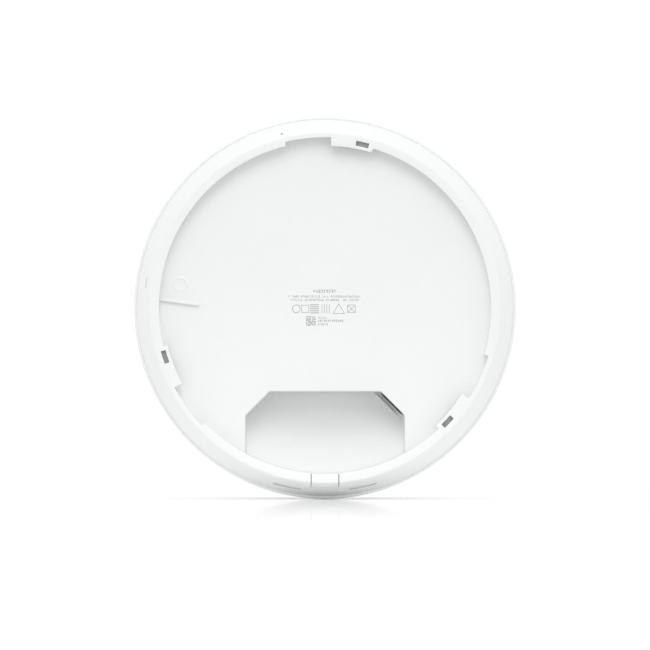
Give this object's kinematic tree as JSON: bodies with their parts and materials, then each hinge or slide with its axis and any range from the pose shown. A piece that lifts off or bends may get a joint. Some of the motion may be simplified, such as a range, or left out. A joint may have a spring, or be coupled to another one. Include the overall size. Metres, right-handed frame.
{
  "type": "ceiling access point",
  "caption": "Round white wireless access point: a shallow domed disc with a recessed back that twists onto a bracket, a cable bay and a network jack.",
  "frame": {"origin": "centre of the flat rear rim, which is the plane that meets the ceiling or the wall", "axes": "-Y out of the back, towards the bracket; +Y out of the domed front; +Z up as it hangs on a wall, away from the cable bay; +X right seen from behind. On a ceiling, -Y points up"},
  "size_m": [0.206, 0.046, 0.206],
  "materials": {
    "casing": "fine matte texture, white",
    "diffuser": "clear to milky, smooth",
    "lamp_board": "white solder mask",
    "black_plastic": "moulded, satin",
    "grey_plastic": "moulded, satin",
    "sheet_steel": "tinned sheet",
    "gold": "plated",
    "board_green": "glass-filled laminate with green mask",
    "aluminium": "as cast and as stamped",
    "thermal_pad": "soft, dull",
    "chip": "moulded epoxy",
    "copper": "bare copper alloy",
    "screw_steel": "zinc plated"
  },
  "bodies": {
    "casing": {"rear_shell": "casing", "front_dome": "casing", "indicator_ring": "diffuser", "light_guide": "diffuser", "lamp_board": "lamp_board", "jack_body": "black_plastic", "network_transformer": "black_plastic", "reset_switch": "black_plastic", "fan_housing": "black_plastic", "fan_lid": "black_plastic", "fan_lead": "black_plastic", "power_inductor": "grey_plastic", "power_transformer": "grey_plastic", "fan_plug": "grey_plastic", "lamp_support": "grey_plastic", "jack_shield": "sheet_steel", "capacitor_1": "sheet_steel", "capacitor_2": "sheet_steel", "radio_shield_low": "sheet_steel", "radio_shield_mid": "sheet_steel", "radio_shield_high": "sheet_steel", "jack_contacts": "gold", "main_board": "board_green", "heat_sink": "aluminium", "antenna_plate": "aluminium", "processor_pad": "thermal_pad", "radio_low_pad": "thermal_pad", "radio_mid_pad": "thermal_pad", "radio_high_pad": "thermal_pad", "processor_chip": "chip", "radio_low_chip": "chip", "radio_mid_chip": "chip", "radio_high_chip": "chip", "memory_chip": "chip", "fan_stator": "copper", "antenna_low_1": "copper", "antenna_low_2": "copper", "antenna_mid_1": "copper", "antenna_mid_2": "copper", "antenna_high_1": "copper", "antenna_high_2": "copper", "board_screw_1": "screw_steel", "board_screw_2": "screw_steel", "board_screw_3": "screw_steel", "board_screw_4": "screw_steel", "heat_sink_screw_1": "screw_steel", "heat_sink_screw_2": "screw_steel", "plate_standoff_1": "screw_steel", "plate_standoff_2": "screw_steel", "plate_standoff_3": "screw_steel", "plate_screw_1": "screw_steel", "plate_screw_2": "screw_steel", "plate_screw_3": "screw_steel"},
    "impeller": {"fan_impeller": "black_plastic"},
    "reset_plunger": {"reset_button": "grey_plastic"},
    "exit_plug": {"cable_exit_cover": "casing"}
  },
  "joints": [
    {"name": "fan_spin", "type": "hinge", "parent": "casing", "child": "impeller", "pos_m": [-0.058, 0.0145, -0.018], "axis": [0, 1, 0], "continuous": true},
    {"name": "reset_button_press", "type": "slide", "parent": "casing", "child": "reset_plunger", "axis": [0, 0, 1], "range_m": [0, 0.0006], "stiffness_N_per_m": 800},
    {"name": "cable_exit_cover_pull", "type": "slide", "parent": "casing", "child": "exit_plug", "axis": [0, -1, 0], "range_m": [0, 0.009]}
  ]
}
